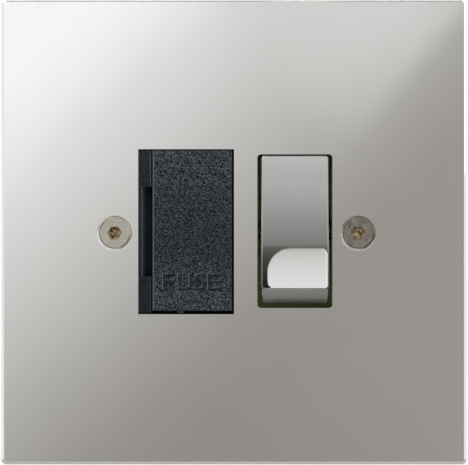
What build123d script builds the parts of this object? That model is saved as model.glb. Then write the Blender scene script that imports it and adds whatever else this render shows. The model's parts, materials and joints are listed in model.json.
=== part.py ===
from build123d import *
import math
import os

# Fused connection unit on a square metal face plate, with a pull-out fuse carrier and a
# double-pole rocker switch. Millimetres. +X is right and +Z is up as seen from the front,
# the front faces -Y, and the wall is the plane y = 0.

# Face plate
plate_size = 86.0
plate_thickness = 3.6
plate_corner_r = 0.95
plate_edge_r = 0.5
pocket_size = 74.0
pocket_depth = 1.6
pocket_corner_r = 2.0
fuse_aperture_w = 17.7
fuse_aperture_h = 30.5
fuse_aperture_x = -8.85
rocker_aperture_w = 13.9
rocker_aperture_h = 28.4
rocker_aperture_r = 0.7

# Plate screws and the bushes that take them
plate_screw_spacing = 45.0
plate_screw_x = 0.44
plate_screw_z = -0.27
plate_screw_length = 6.4
plate_screw_r = 1.45
plate_screw_head_r = 3.2
plate_screw_hole_r = 1.7
plate_screw_rim_r = 0.12
countersink_gap = 0.05
countersink_angle = 90.0
socket_flats = 2.2
socket_depth = 1.3
socket_edge = 0.1
bush_r = 2.25
bush_length = 3.6
bush_spigot_r = 1.9
bush_body_gap = 0.25
thread_gap = 0.05

# Pressed steel mounting frame with ears for the wall box
frame_t = 1.2
frame_bush_margin = 3.35
frame_overhang = 2.5
frame_corner_r = 3.0
window_side_gap = 0.4
window_end_gap = 0.95
window_corner_r = 1.0
ear_setback = 2.4
ear_width = 11.0
ear_span = 70.4
ear_corner_r = 3.0
joggle_angle = 70.0
box_screw_spacing = 60.3
box_hole_r = 2.0

# Moulded body: front housing and rear base meet at the split depth
body_w = 39.0
body_h = 50.0
body_corner_r = 1.5
body_edge = 0.6
split_y = 8.0
floor_y = 16.4
base_floor_t = 2.0
row_rear_y = 22.6
row_wall_t = 1.6
core_depth = 6.0
core_wall_t = 1.5

# Fuse bay
strip_w = 2.4
strip_proud = 0.3
insert_gap = 0.08
blade_recess_w = 1.65
blade_recess_h = 16.5
blade_recess_edge = 0.15
well_w = 13.1
well_h = 28.8

# Fuse carrier
carrier_proud = 0.7
carrier_face_t = 2.5
carrier_edge_r = 0.4
carrier_left_gap = 0.25
carrier_right_gap = 0.37
carrier_top_gap = 0.2
carrier_bottom_gap = 0.6
carrier_seat_gap = 0.1
carrier_well_gap = 0.25
carrier_wall_t = 1.2
carrier_rim_depth = 2.8
carrier_floor_gap = 0.2
carrier_travel = 12.2
carrier_stop_gap = 0.3
rib_w = 4.5
rib_h = 0.85
rib_t = 1.4
groove_gap = 0.2
cradle_h = 9.0
cradle_wall_t = 1.5
cradle_grip = 1.6
nib_x = -9.8
nib_w = 1.4
nib_h = 0.35
nib_setback = 0.5
pry_notch_depth = 0.8
pry_notch_w = 1.2

# Cartridge fuse
fuse_length = 25.4
fuse_cap_r = 3.175
fuse_cap_length = 6.0
fuse_cap_wall_t = 0.35
fuse_cap_end_t = 0.5
fuse_fit_gap = 0.045
fuse_cradle_gap = 0.1
fuse_y = 5.2

# Fuse clips
clip_z = 9.6
clip_w = 4.6
clip_t = 0.6
clip_gap = 0.03
clip_bend_r = 1.0
clip_throat = 1.8
clip_lip = 2.8
clip_flare = 0.7

# Rocker, drawn about its pivot and tilted to the off position
rocker_x = 11.25
rocker_z = 0.1
rocker_pivot_y = 2.2
rocker_throw = 22.0
rocker_w = 12.5
crest_reach = 8.5
crest_half = 12.53
valley_reach = 6.6
shoulder_reach = 5.5
shoulder_half = 13.3
skirt_reach = 1.8
skirt_half = 13.85
cap_corner_r = 0.7
cap_edge_r = 0.22
cap_wall_t = 1.0
cap_fit_gap = 0.05
hub_half = 4.5
hub_back = 2.2
hub_side_gap = 0.15
axle_r = 1.5
axle_gap = 0.05
axle_seat = 0.9
axle_end_gap = 0.1
rocker_well_w = 13.6
rocker_well_h = 30.0
rocker_floor_y = 5.0
rocker_window_h = 22.0
rocker_ledge_y = 5.6
rocker_ledge_w = 11.4

# Plungers and their springs
pole_spacing = 6.2
plunger_r = 1.8
plunger_bore_gap = 0.05
plunger_bore_depth = 6.2
plunger_tail = 0.4
plunger_tip_r = 1.2
plunger_neck = 0.85
spring_r = 1.2
spring_wire_r = 0.2
spring_turns = 4
spring_seat_gap = 0.1

# See-saw contact bridges and contact tips
bridge_y = 9.7
bridge_t = 0.8
bridge_w = 4.4
bridge_half = 9.7
bridge_end_r = 1.0
contact_z = 8.0
contact_r = 1.5
contact_t = 0.5
contact_gap = 0.05
fulcrum_r = 0.3
fulcrum_w = 3.6
stop_z = 7.9
stop_w = 1.0
stop_t = 1.4
barrier_t = 0.8
barrier_top = 7.0
barrier_bottom = -10.0

# Conductor strips
conductor_t = 0.8
conductor_w = 3.2
link_w = 4.0
slot_gap = 0.2
neutral_entry_x = 1.0
neutral_run_z = 14.9
load_neutral_x = 11.2
load_neutral_run_z = -12.4
load_line_x = -11.5

# Terminals, in one row of three at the top and one at the bottom
terminal_pitch = 12.6
chamber_w = 8.4
chamber_inner_z = 16.4
block_w = 7.0
block_h = 7.0
block_depth = 8.0
block_inner_z = 17.0
block_edge = 0.3
wire_r = 2.1
wire_depth = 5.6
wire_seat = 3.2
clamp_screw_r = 1.6
clamp_head_r = 2.4
clamp_head_h = 1.4
clamp_slot_w = 0.8
clamp_slot_depth = 0.7
clamp_lift = 0.4
clamp_tip_gap = 0.25
strap_w = 4.0
strap_tab = 2.0

# Long screws that clamp base, housing and frame together
assembly_z = 20.5
assembly_screw_r = 1.1
assembly_head_r = 1.9
assembly_head_h = 1.4
assembly_slot_w = 0.6
assembly_slot_depth = 0.6
assembly_end_gap = 0.2

# Frame and depths that follow from the sizes above
plate_front = -plate_thickness
skin_back = -pocket_depth
frame_front = skin_back
frame_back = frame_front + frame_t
ear_front = frame_front + ear_setback
frame_w = plate_screw_spacing + 2 * (abs(plate_screw_x) + frame_bush_margin)
frame_h = body_h + 2 * frame_overhang
base_rear_y = floor_y + base_floor_t
conductor_front = floor_y - conductor_t
carrier_front = plate_front - carrier_proud
carrier_face_back = carrier_front + carrier_face_t
collar_front = carrier_face_back + carrier_seat_gap
strip_front = plate_front - strip_proud
carrier_back = conductor_front - carrier_floor_gap

# The two plate screws, as x and z
screw_places = [
    (plate_screw_x - plate_screw_spacing / 2, plate_screw_z),
    (plate_screw_x + plate_screw_spacing / 2, plate_screw_z),
]

# Fuse bay layout: the strip is left of the carrier, and the carrier sets the bay's middle
aperture_left = fuse_aperture_x - fuse_aperture_w / 2
aperture_right = fuse_aperture_x + fuse_aperture_w / 2
strip_right = aperture_left + strip_w
carrier_left = strip_right + carrier_left_gap
carrier_right = aperture_right - carrier_right_gap
carrier_top = fuse_aperture_h / 2 - carrier_top_gap
carrier_bottom = carrier_bottom_gap - fuse_aperture_h / 2
fuse_x = (carrier_left + carrier_right) / 2
well_left = fuse_x - well_w / 2
well_right = fuse_x + well_w / 2
groove_front = carrier_back - rib_t - carrier_travel - carrier_stop_gap
carrier_half_w = well_w / 2 - carrier_well_gap
carrier_half_h = well_h / 2 - carrier_well_gap
fuse_body_r = fuse_cap_r - fuse_cap_wall_t - fuse_fit_gap

# Switch layout: off is half the throw one way and on is half the throw the other way, and
# each bridge turns about a line in its rear face
half_throw = rocker_throw / 2
tilt_sin = math.sin(math.radians(half_throw))
tilt_cos = math.cos(math.radians(half_throw))
line_x = rocker_x + pole_spacing / 2
neutral_x = rocker_x - pole_spacing / 2
window_w = 2 * (rocker_x + rocker_aperture_w / 2 + window_side_gap)
window_h = fuse_aperture_h + 2 * window_end_gap
cavity_left = rocker_x - rocker_well_w / 2
cavity_right = rocker_x + rocker_well_w / 2
cavity_top = rocker_z + well_h / 2
cavity_bottom = rocker_z - well_h / 2
plunger_reach = bridge_y - bridge_t - contact_gap - plunger_tip_r - rocker_pivot_y
closed_tip_y = bridge_y + (contact_z + contact_r) * tilt_sin + contact_t * tilt_cos
fixed_tip_front = closed_tip_y + contact_gap
chamber_floor = fixed_tip_front + contact_t
stop_front = bridge_y + (stop_z + stop_w / 2) * tilt_sin / tilt_cos + contact_gap

# Terminal positions: x of each block, and +1 for the top row or -1 for the bottom row
supply_line_place = (terminal_pitch, 1)
supply_neutral_place = (0.0, 1)
upper_earth_place = (-terminal_pitch, 1)
load_line_place = (-terminal_pitch, -1)
lower_earth_place = (0.0, -1)
load_neutral_place = (terminal_pitch, -1)
live_places = [supply_line_place, supply_neutral_place, load_line_place, load_neutral_place]
earth_places = [upper_earth_place, lower_earth_place]
terminal_places = live_places + earth_places
block_outer_z = block_inner_z + block_h
block_rear = chamber_floor + block_depth
wire_y = chamber_floor + wire_seat
assembly_places = [
    (x, z)
    for x in (-terminal_pitch / 2, terminal_pitch / 2)
    for z in (-assembly_z, assembly_z)
]

# Strip routes, as x and z of each corner
link_route = [
    (fuse_x - clip_w, clip_z),
    (line_x, clip_z),
    (line_x, rocker_z - conductor_w / 2),
]
supply_neutral_route = [
    (neutral_entry_x, block_inner_z + block_edge),
    (neutral_entry_x, neutral_run_z),
    (neutral_x, neutral_run_z),
    (neutral_x, rocker_z + contact_z - contact_r),
]
supply_line_route = [
    (line_x, block_inner_z + block_edge),
    (line_x, rocker_z + contact_z - contact_r),
]
load_neutral_route = [
    (neutral_x, rocker_z + conductor_w / 2),
    (neutral_x, load_neutral_run_z),
    (load_neutral_x, load_neutral_run_z),
    (load_neutral_x, -block_inner_z - block_edge),
]
load_line_route = [
    (fuse_x + clip_w, -clip_z),
    (load_line_x, -clip_z),
    (load_line_x, -block_inner_z - block_edge),
]


def facing(y):
    """Plane at depth y that faces the front, with X across and Z up."""
    return Plane.XZ.offset(-y)


def tilted(y, z, degrees, x=0.0):
    """Plane across X at a pivot, with its own Y and Z turned about the pivot."""
    turn = math.radians(degrees)
    return Plane(
        origin=(x, y, z), x_dir=(0, math.cos(turn), math.sin(turn)), z_dir=(1, 0, 0)
    )


def box_between(x_range, y_range, z_range, mode=Mode.ADD):
    """Box from its low and high limits on each axis."""
    centre = tuple(sum(limits) / 2 for limits in (x_range, y_range, z_range))
    sizes = [max(limits) - min(limits) for limits in (x_range, y_range, z_range)]
    with Locations(centre):
        Box(*sizes, mode=mode)


def strip_along(route, width, y_range, mode=Mode.ADD):
    """Flat strip of one width along a route of x and z corners."""
    with BuildSketch(facing(y_range[1])) as outline:
        with BuildLine():
            Polyline(*route)
        trace(line_width=width)
    extrude(outline.sketch, amount=y_range[1] - y_range[0], mode=mode)


def drill(places, y, radius, depth):
    """Holes that start at depth y and go towards the rear, at x and z places."""
    with Locations(facing(y)):
        with Locations(*places):
            Hole(radius, depth)


# Front plate: round-edged square with a shallow pocket behind, two apertures and screw holes
with BuildPart() as front_plate:
    with BuildSketch(facing(0)):
        RectangleRounded(plate_size, plate_size, plate_corner_r)
    extrude(amount=plate_thickness)
    front_edges = front_plate.faces().sort_by(Axis.Y)[0].outer_wire().edges()
    fillet(front_edges, plate_edge_r)
    with BuildSketch(facing(0)):
        RectangleRounded(pocket_size, pocket_size, pocket_corner_r)
    extrude(amount=pocket_depth, mode=Mode.SUBTRACT)
    with BuildSketch(facing(skin_back)):
        with Locations((fuse_aperture_x, 0)):
            Rectangle(fuse_aperture_w, fuse_aperture_h)
        with Locations((rocker_x, rocker_z)):
            RectangleRounded(rocker_aperture_w, rocker_aperture_h, rocker_aperture_r)
    extrude(amount=plate_thickness, mode=Mode.SUBTRACT)
    with Locations(facing(plate_front)):
        with Locations(*screw_places):
            CounterSinkHole(
                plate_screw_hole_r,
                plate_screw_head_r + countersink_gap,
                counter_sink_angle=countersink_angle,
            )

# Plate screws: countersunk, flush with the plate, with a rounded rim and a hexagon socket
head_depth = (plate_screw_head_r - plate_screw_r) / math.tan(math.radians(countersink_angle / 2))
with BuildPart() as plate_screw:
    with BuildSketch(Plane.XY):
        with BuildLine():
            Polyline(
                (0, plate_front),
                (plate_screw_head_r, plate_front),
                (plate_screw_r, plate_front + head_depth),
                (plate_screw_r, plate_front + plate_screw_length),
                (0, plate_front + plate_screw_length),
                close=True,
            )
        make_face()
    revolve(axis=Axis.Y)
    fillet(plate_screw.faces().sort_by(Axis.Y)[0].edges(), plate_screw_rim_r)
    with BuildSketch(facing(plate_front + socket_depth)):
        RegularPolygon(socket_flats / 2, 6, major_radius=False)
    extrude(amount=socket_depth, mode=Mode.SUBTRACT)
    head_face = plate_screw.faces().sort_by(Axis.Y)[0]
    chamfer(head_face.inner_wires()[0].edges(), socket_edge)

with BuildPart() as plate_screws:
    with Locations(*[(x, 0, z) for x, z in screw_places]):
        add(plate_screw.part)

# Mounting frame: flat strap with a window, and two ears joggled back into the wall box
bend_shift = frame_t * math.tan(math.radians(joggle_angle / 2))
joggle_run = ear_setback / math.tan(math.radians(joggle_angle))
ear_root = frame_w / 2
ear_top = ear_root + joggle_run
with BuildPart() as mounting_frame:
    with BuildSketch(facing(frame_back)):
        RectangleRounded(frame_w, frame_h, frame_corner_r)
        RectangleRounded(window_w, window_h, window_corner_r, mode=Mode.SUBTRACT)
        with Locations(*screw_places):
            Circle(bush_spigot_r + thread_gap, mode=Mode.SUBTRACT)
        with Locations(*assembly_places):
            Circle(assembly_screw_r + thread_gap, mode=Mode.SUBTRACT)
    extrude(amount=frame_t)
    with BuildSketch(Plane.XY):
        with BuildLine():
            Polyline(
                (ear_root - bend_shift, frame_front),
                (ear_root, frame_front),
                (ear_top, ear_front),
                (ear_span / 2, ear_front),
                (ear_span / 2, ear_front + frame_t),
                (ear_top - bend_shift, ear_front + frame_t),
                (ear_root - bend_shift, frame_back),
                close=True,
            )
        make_face()
        mirror(about=Plane.YZ)
    extrude(amount=ear_width / 2, both=True)
    ear_ends = mounting_frame.edges().filter_by(Axis.Y).group_by(Axis.X)
    fillet(ear_ends[0] + ear_ends[-1], ear_corner_r)
    with Locations(facing(ear_front)):
        with GridLocations(box_screw_spacing, box_screw_spacing, 2, 1):
            Hole(box_hole_r)

# Threaded bushes pressed into the frame behind the plate screws
with BuildPart() as screw_bushes:
    for place in screw_places:
        with BuildSketch(facing(frame_back)):
            with Locations(place):
                Circle(bush_spigot_r)
        extrude(amount=frame_t)
        with BuildSketch(facing(frame_back + bush_length)):
            with Locations(place):
                Circle(bush_r)
        extrude(amount=bush_length)
    drill(screw_places, frame_front, plate_screw_r + thread_gap, frame_t + bush_length)

# Front housing: fuse well with its collar and visible strip, and the rocker well
with BuildPart() as front_housing:
    with BuildSketch(facing(split_y)):
        RectangleRounded(body_w, body_h, body_corner_r)
    extrude(amount=split_y - frame_back)
    box_between(
        (aperture_left + insert_gap, aperture_right - insert_gap),
        (collar_front, frame_back),
        (insert_gap - fuse_aperture_h / 2, fuse_aperture_h / 2 - insert_gap),
    )
    box_between(
        (aperture_left + insert_gap, strip_right),
        (strip_front, collar_front),
        (insert_gap - fuse_aperture_h / 2, fuse_aperture_h / 2 - insert_gap),
    )
    box_between(
        (strip_right - blade_recess_w, strip_right),
        (strip_front, collar_front),
        (-blade_recess_h / 2, blade_recess_h / 2),
        mode=Mode.SUBTRACT,
    )
    strip_face = front_housing.faces().sort_by(Axis.Y)[0]
    recess_rim = strip_face.edges().filter_by_position(
        Axis.Z, -blade_recess_h / 2, blade_recess_h / 2
    )
    chamfer(recess_rim, blade_recess_edge)
    box_between(
        (well_left, well_right),
        (collar_front, split_y),
        (-well_h / 2, well_h / 2),
        mode=Mode.SUBTRACT,
    )
    groove_half_h = carrier_half_h + rib_h + groove_gap
    box_between(
        (fuse_x - rib_w / 2 - groove_gap, fuse_x + rib_w / 2 + groove_gap),
        (groove_front, split_y),
        (-groove_half_h, groove_half_h),
        mode=Mode.SUBTRACT,
    )
    for well_limits, width, height in (
        ((frame_back, rocker_floor_y), rocker_well_w, rocker_well_h),
        ((rocker_floor_y, rocker_ledge_y), rocker_well_w, rocker_window_h),
        ((rocker_ledge_y, split_y), rocker_ledge_w, rocker_window_h),
    ):
        box_between(
            (rocker_x - width / 2, rocker_x + width / 2),
            well_limits,
            (rocker_z - height / 2, rocker_z + height / 2),
            mode=Mode.SUBTRACT,
        )
    with BuildSketch(Plane.YZ.offset(cavity_left - axle_seat - axle_end_gap)):
        with Locations((rocker_pivot_y, rocker_z)):
            Circle(axle_r + axle_gap)
    extrude(amount=rocker_well_w + 2 * (axle_seat + axle_end_gap), mode=Mode.SUBTRACT)
    for x, row in terminal_places:
        box_between(
            (x - chamber_w / 2, x + chamber_w / 2),
            (split_y - core_depth, split_y),
            (row * block_inner_z, row * (body_h / 2 - core_wall_t)),
            mode=Mode.SUBTRACT,
        )
    drill(assembly_places, frame_back, assembly_screw_r + thread_gap, split_y - frame_back)
    drill(screw_places, frame_back, bush_r + bush_body_gap, split_y - frame_back)

# Rear base: the wells' floors, the switch cavity and six open terminal chambers
row_inner_z = chamber_inner_z - row_wall_t
with BuildPart() as rear_base:
    with BuildSketch(facing(row_rear_y)):
        RectangleRounded(body_w, body_h, body_corner_r)
    extrude(amount=row_rear_y - split_y)
    chamfer(rear_base.faces().sort_by(Axis.Y)[-1].edges(), body_edge)
    box_between(
        (-body_w / 2, body_w / 2),
        (base_rear_y, row_rear_y),
        (-row_inner_z, row_inner_z),
        mode=Mode.SUBTRACT,
    )
    box_between(
        (well_left, well_right), (split_y, floor_y), (-well_h / 2, well_h / 2), mode=Mode.SUBTRACT
    )
    box_between(
        (fuse_x - rib_w / 2 - groove_gap, fuse_x + rib_w / 2 + groove_gap),
        (split_y, conductor_front),
        (-groove_half_h, groove_half_h),
        mode=Mode.SUBTRACT,
    )
    box_between(
        (cavity_left, cavity_right),
        (split_y, floor_y),
        (cavity_bottom, cavity_top),
        mode=Mode.SUBTRACT,
    )
    box_between(
        (rocker_x - barrier_t / 2, rocker_x + barrier_t / 2),
        (split_y, floor_y),
        (barrier_bottom, barrier_top),
    )
    box_between(
        (cavity_left, cavity_right),
        (stop_front, stop_front + stop_t),
        (rocker_z - stop_z - stop_w / 2, rocker_z - stop_z + stop_w / 2),
    )
    for x, row in terminal_places:
        box_between(
            (x - chamber_w / 2, x + chamber_w / 2),
            (chamber_floor, row_rear_y),
            (row * chamber_inner_z, row * body_h / 2),
            mode=Mode.SUBTRACT,
        )
    for route, width, slot_floor in (
        (link_route, link_w, floor_y),
        (load_neutral_route, conductor_w, floor_y),
        (load_line_route, link_w, floor_y),
        (supply_line_route, conductor_w, chamber_floor + conductor_t),
        (supply_neutral_route, conductor_w, chamber_floor + conductor_t),
    ):
        strip_along(route, width + 2 * slot_gap, (split_y, slot_floor), mode=Mode.SUBTRACT)
    drill(assembly_places, split_y, assembly_screw_r + thread_gap, row_rear_y - split_y)

# Long assembly screws, driven from the rear into the frame
with BuildPart() as assembly_screw:
    with BuildSketch(facing(row_rear_y)):
        Circle(assembly_screw_r)
    extrude(amount=row_rear_y - frame_front - assembly_end_gap)
    with BuildSketch(facing(row_rear_y + assembly_head_h)):
        Circle(assembly_head_r)
    extrude(amount=assembly_head_h)
    with BuildSketch(facing(row_rear_y + assembly_head_h)):
        Rectangle(2 * assembly_head_r, assembly_slot_w)
    extrude(amount=assembly_slot_depth, mode=Mode.SUBTRACT)

with BuildPart() as assembly_screws:
    with Locations(*[(x, 0, z) for x, z in assembly_places]):
        add(assembly_screw.part)

# Fuse carrier: face with a nib under it, rim, two guide walls with stop ribs, and the fuse cradle
with BuildPart() as fuse_carrier:
    with BuildSketch(facing(carrier_face_back)):
        with Locations((fuse_x, (carrier_top + carrier_bottom) / 2)):
            Rectangle(carrier_right - carrier_left, carrier_top - carrier_bottom)
    extrude(amount=carrier_face_t)
    fillet(fuse_carrier.faces().sort_by(Axis.Y)[0].edges(), carrier_edge_r)
    box_between(
        (nib_x - nib_w / 2, nib_x + nib_w / 2),
        (carrier_front + nib_setback, carrier_face_back),
        (carrier_bottom - nib_h, carrier_bottom),
    )
    with BuildSketch(facing(carrier_face_back + carrier_rim_depth)):
        with Locations((fuse_x, 0)):
            Rectangle(2 * carrier_half_w, 2 * carrier_half_h)
            Rectangle(
                2 * (carrier_half_w - carrier_wall_t),
                2 * (carrier_half_h - carrier_wall_t),
                mode=Mode.SUBTRACT,
            )
    extrude(amount=carrier_rim_depth)
    for end in (-1, 1):
        box_between(
            (fuse_x - carrier_half_w, fuse_x + carrier_half_w),
            (carrier_face_back, carrier_back),
            (end * (carrier_half_h - carrier_wall_t), end * carrier_half_h),
        )
        box_between(
            (fuse_x - rib_w / 2, fuse_x + rib_w / 2),
            (carrier_back - rib_t, carrier_back),
            (end * carrier_half_h, end * (carrier_half_h + rib_h)),
        )
    cradle_bore_r = fuse_body_r + fuse_cradle_gap
    cradle_half_w = cradle_bore_r + cradle_wall_t
    box_between(
        (fuse_x - cradle_half_w, fuse_x + cradle_half_w),
        (carrier_face_back, fuse_y + cradle_grip),
        (-cradle_h / 2, cradle_h / 2),
    )
    with BuildSketch(Plane.XY):
        with Locations((fuse_x, fuse_y)):
            Circle(cradle_bore_r)
    extrude(amount=cradle_h / 2, both=True, mode=Mode.SUBTRACT)
    box_between(
        (carrier_left, carrier_left + pry_notch_w),
        (carrier_face_back - pry_notch_depth, carrier_face_back),
        (-blade_recess_h / 2, blade_recess_h / 2),
        mode=Mode.SUBTRACT,
    )

# Cartridge fuse: ceramic body and two pressed end caps
with BuildPart() as fuse_body:
    with BuildSketch(Plane.XY):
        with Locations((fuse_x, fuse_y)):
            Circle(fuse_body_r)
    extrude(amount=fuse_length / 2 - fuse_cap_end_t, both=True)

with BuildPart() as fuse_end_caps:
    for end in (-1, 1):
        with BuildSketch(Plane.XY.offset(end * fuse_length / 2)):
            with Locations((fuse_x, fuse_y)):
                Circle(fuse_cap_r)
        extrude(amount=-end * fuse_cap_length)
        with BuildSketch(Plane.XY.offset(end * (fuse_length / 2 - fuse_cap_end_t))):
            with Locations((fuse_x, fuse_y)):
                Circle(fuse_cap_r - fuse_cap_wall_t)
        extrude(amount=-end * fuse_cap_length, mode=Mode.SUBTRACT)

# Fuse clips: long-leaved U springs that stand on the conductor strips
clip_leaf = fuse_cap_r + clip_gap + clip_t / 2
clip_base = conductor_front - clip_t / 2


def fuse_clip(z):
    """Bent strip profile across X and Y, with flared lips at the front."""
    with BuildSketch(Plane.XY.offset(z)) as profile:
        with BuildLine():
            FilletPolyline(
                (fuse_x - clip_leaf - clip_flare, fuse_y - clip_lip),
                (fuse_x - clip_leaf, fuse_y - clip_throat),
                (fuse_x - clip_leaf, clip_base),
                (fuse_x + clip_leaf, clip_base),
                (fuse_x + clip_leaf, fuse_y - clip_throat),
                (fuse_x + clip_leaf + clip_flare, fuse_y - clip_lip),
                radius=clip_bend_r,
            )
        trace(line_width=clip_t)
    extrude(profile.sketch, amount=clip_w / 2, both=True)


with BuildPart() as upper_fuse_clip:
    fuse_clip(clip_z)

with BuildPart() as lower_fuse_clip:
    fuse_clip(-clip_z)


def fulcrum(x):
    """Upright tab whose rounded edge lies in the groove of a contact bridge."""
    with BuildSketch(Plane.YZ.offset(x)) as profile:
        with Locations((bridge_y, rocker_z)):
            Circle(fulcrum_r)
        with Locations(((bridge_y + conductor_front) / 2, rocker_z)):
            Rectangle(conductor_front - bridge_y, 2 * fulcrum_r)
    extrude(profile.sketch, amount=fulcrum_w / 2, both=True)


# Line link: from the line pole's fulcrum to the upper fuse clip
with BuildPart() as line_link:
    strip_along(link_route, link_w, (conductor_front, floor_y))
    fulcrum(line_x)


def terminal_block(place, front_y):
    """Brass block with a wire bore from its outer end and a clamp hole from the rear."""
    x, row = place
    with BuildSketch(facing(block_rear)) as outline:
        with Locations((x, row * (block_inner_z + block_outer_z) / 2)):
            Rectangle(block_w, block_h)
            chamfer(outline.vertices(), block_edge)
    extrude(outline.sketch, amount=block_rear - front_y)
    with Locations(Plane((x, wire_y, row * block_outer_z), x_dir=(1, 0, 0), z_dir=(0, 0, row))):
        Hole(wire_r, wire_depth)
    with Locations(Plane((x, block_rear, row * assembly_z), x_dir=(1, 0, 0), z_dir=(0, 1, 0))):
        Hole(clamp_screw_r + thread_gap, block_rear - wire_y)


with BuildPart() as supply_line_terminal:
    terminal_block(supply_line_place, chamber_floor)
    strip_along(supply_line_route, conductor_w, (chamber_floor, chamber_floor + conductor_t))

with BuildPart() as supply_neutral_terminal:
    terminal_block(supply_neutral_place, chamber_floor)
    strip_along(supply_neutral_route, conductor_w, (chamber_floor, chamber_floor + conductor_t))

with BuildPart() as load_line_terminal:
    terminal_block(load_line_place, chamber_floor)
    strip_along(load_line_route, link_w, (conductor_front, floor_y))

with BuildPart() as load_neutral_terminal:
    terminal_block(load_neutral_place, chamber_floor)
    strip_along(load_neutral_route, conductor_w, (conductor_front, floor_y))
    fulcrum(neutral_x)

with BuildPart() as earth_terminals:
    for place in earth_places:
        terminal_block(place, chamber_floor + conductor_t)

# Earth straps: from under each earth block, round the body's edge, to the frame
strap_floor = chamber_floor + conductor_t / 2
strap_edge = body_h / 2 + conductor_t / 2
strap_frame = frame_back + conductor_t / 2
with BuildPart() as earth_straps:
    for x, row in earth_places:
        with BuildSketch(Plane.YZ.offset(x)):
            with BuildLine():
                Polyline(
                    (strap_floor, row * block_inner_z),
                    (strap_floor, row * strap_edge),
                    (strap_frame, row * strap_edge),
                    (strap_frame, row * (strap_edge + strap_tab)),
                )
            trace(line_width=conductor_t)
        extrude(amount=strap_w / 2, both=True)

# Clamp screws, backed off so that the wire bores are open
clamp_head_front = block_rear + clamp_lift
clamp_tip = wire_y + wire_r + clamp_tip_gap
with BuildPart() as terminal_screws:
    for x, row in terminal_places:
        with BuildSketch(facing(clamp_head_front)):
            with Locations((x, row * assembly_z)):
                Circle(clamp_screw_r)
        extrude(amount=clamp_head_front - clamp_tip)
        with BuildSketch(facing(clamp_head_front + clamp_head_h)):
            with Locations((x, row * assembly_z)):
                Circle(clamp_head_r)
        extrude(amount=clamp_head_h)
        with BuildSketch(facing(clamp_head_front + clamp_head_h)):
            with Locations((x, row * assembly_z)):
                Rectangle(2 * clamp_head_r, clamp_slot_w)
        extrude(amount=clamp_slot_depth, mode=Mode.SUBTRACT)

# Fixed contact tips on the two supply strips
with BuildPart() as fixed_tips:
    with BuildSketch(facing(chamber_floor)):
        with Locations((line_x, rocker_z + contact_z), (neutral_x, rocker_z + contact_z)):
            Circle(contact_r)
    extrude(amount=contact_t)


def rocker_section(plane, inset):
    """Rocker profile across its own Y and Z, drawn inside itself by the inset."""
    with BuildSketch(plane) as section:
        with BuildLine():
            ThreePointArc(
                (-crest_reach, -crest_half), (-valley_reach, 0), (-crest_reach, crest_half)
            )
            for end in (-1, 1):
                ThreePointArc(
                    (-crest_reach, end * crest_half),
                    (-shoulder_reach, end * shoulder_half),
                    (-skirt_reach, end * skirt_half),
                )
            Line((-skirt_reach, -skirt_half), (-skirt_reach, skirt_half))
        make_face()
        if inset:
            offset(amount=-inset, kind=Kind.INTERSECTION, mode=Mode.REPLACE)
    return section.sketch


rocker_plane = tilted(rocker_pivot_y, rocker_z, -half_throw, rocker_x)

# Rocker cap: die-cast polished shell with a concave face between two crests
with BuildPart() as rocker_cap:
    extrude(rocker_section(rocker_plane, 0), amount=rocker_w / 2, both=True)
    end_faces = rocker_cap.faces().filter_by(GeomType.CYLINDER).sort_by(SortBy.AREA)[:-1]
    fillet(end_faces.edges().filter_by(GeomType.CIRCLE), cap_corner_r)
    rocker_front = rocker_cap.faces().filter_by(GeomType.CYLINDER).sort_by(SortBy.AREA)[-1]
    fillet(rocker_front.edges(), cap_edge_r)
    pocket_half_w = rocker_w / 2 - cap_wall_t
    extrude(
        rocker_section(rocker_plane, cap_wall_t),
        amount=pocket_half_w,
        both=True,
        mode=Mode.SUBTRACT,
    )
    with BuildSketch(rocker_plane):
        with Locations((-skirt_reach, 0)):
            Rectangle(2 * cap_wall_t, 2 * (skirt_half - 2 * cap_wall_t))
    extrude(amount=pocket_half_w, both=True, mode=Mode.SUBTRACT)

# Rocker body: plastic core in the cap, with hub, axle stubs and plunger bores
core_inset = cap_wall_t + cap_fit_gap
hub_front = cap_fit_gap - skirt_reach
hub_root = hub_front - 2 * core_inset
with BuildPart() as rocker_body:
    extrude(rocker_section(rocker_plane, core_inset), amount=rocker_w / 2 - core_inset, both=True)
    with BuildSketch(rocker_plane):
        with Locations(((hub_root + hub_back) / 2, 0)):
            Rectangle(hub_back - hub_root, 2 * hub_half)
    extrude(amount=rocker_w / 2 - core_inset, both=True)
    with BuildSketch(rocker_plane):
        with Locations(((hub_front + hub_back) / 2, 0)):
            Rectangle(hub_back - hub_front, 2 * hub_half)
    extrude(amount=rocker_w / 2 - hub_side_gap, both=True)
    with BuildSketch(rocker_plane):
        Circle(axle_r)
    extrude(amount=rocker_well_w / 2 + axle_seat, both=True)
    for pole in (-pole_spacing / 2, pole_spacing / 2):
        bore_mouth = rocker_plane.offset(pole).from_local_coords(Vector(hub_back, 0, 0))
        with Locations(Plane(bore_mouth, x_dir=(1, 0, 0), z_dir=rocker_plane.x_dir)):
            Hole(plunger_r + plunger_bore_gap, plunger_bore_depth)

# Plungers: nylon pins that ride in the rocker and press on the bridges
plunger_axis_end = plunger_reach - plunger_neck
with BuildPart() as plungers:
    for pole in (-pole_spacing / 2, pole_spacing / 2):
        pole_plane = rocker_plane.offset(pole)
        with BuildSketch(pole_plane):
            with BuildLine():
                Line((-plunger_tail, 0), (-plunger_tail, plunger_r))
                Line((-plunger_tail, plunger_r), (plunger_axis_end, plunger_r))
                Line((plunger_axis_end, plunger_r), (plunger_reach, plunger_tip_r))
                RadiusArc(
                    (plunger_reach, plunger_tip_r),
                    (plunger_reach + plunger_tip_r, 0),
                    plunger_tip_r,
                )
                Line((plunger_reach + plunger_tip_r, 0), (-plunger_tail, 0))
            make_face()
        revolve(axis=Axis(pole_plane.origin, pole_plane.x_dir))

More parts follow.
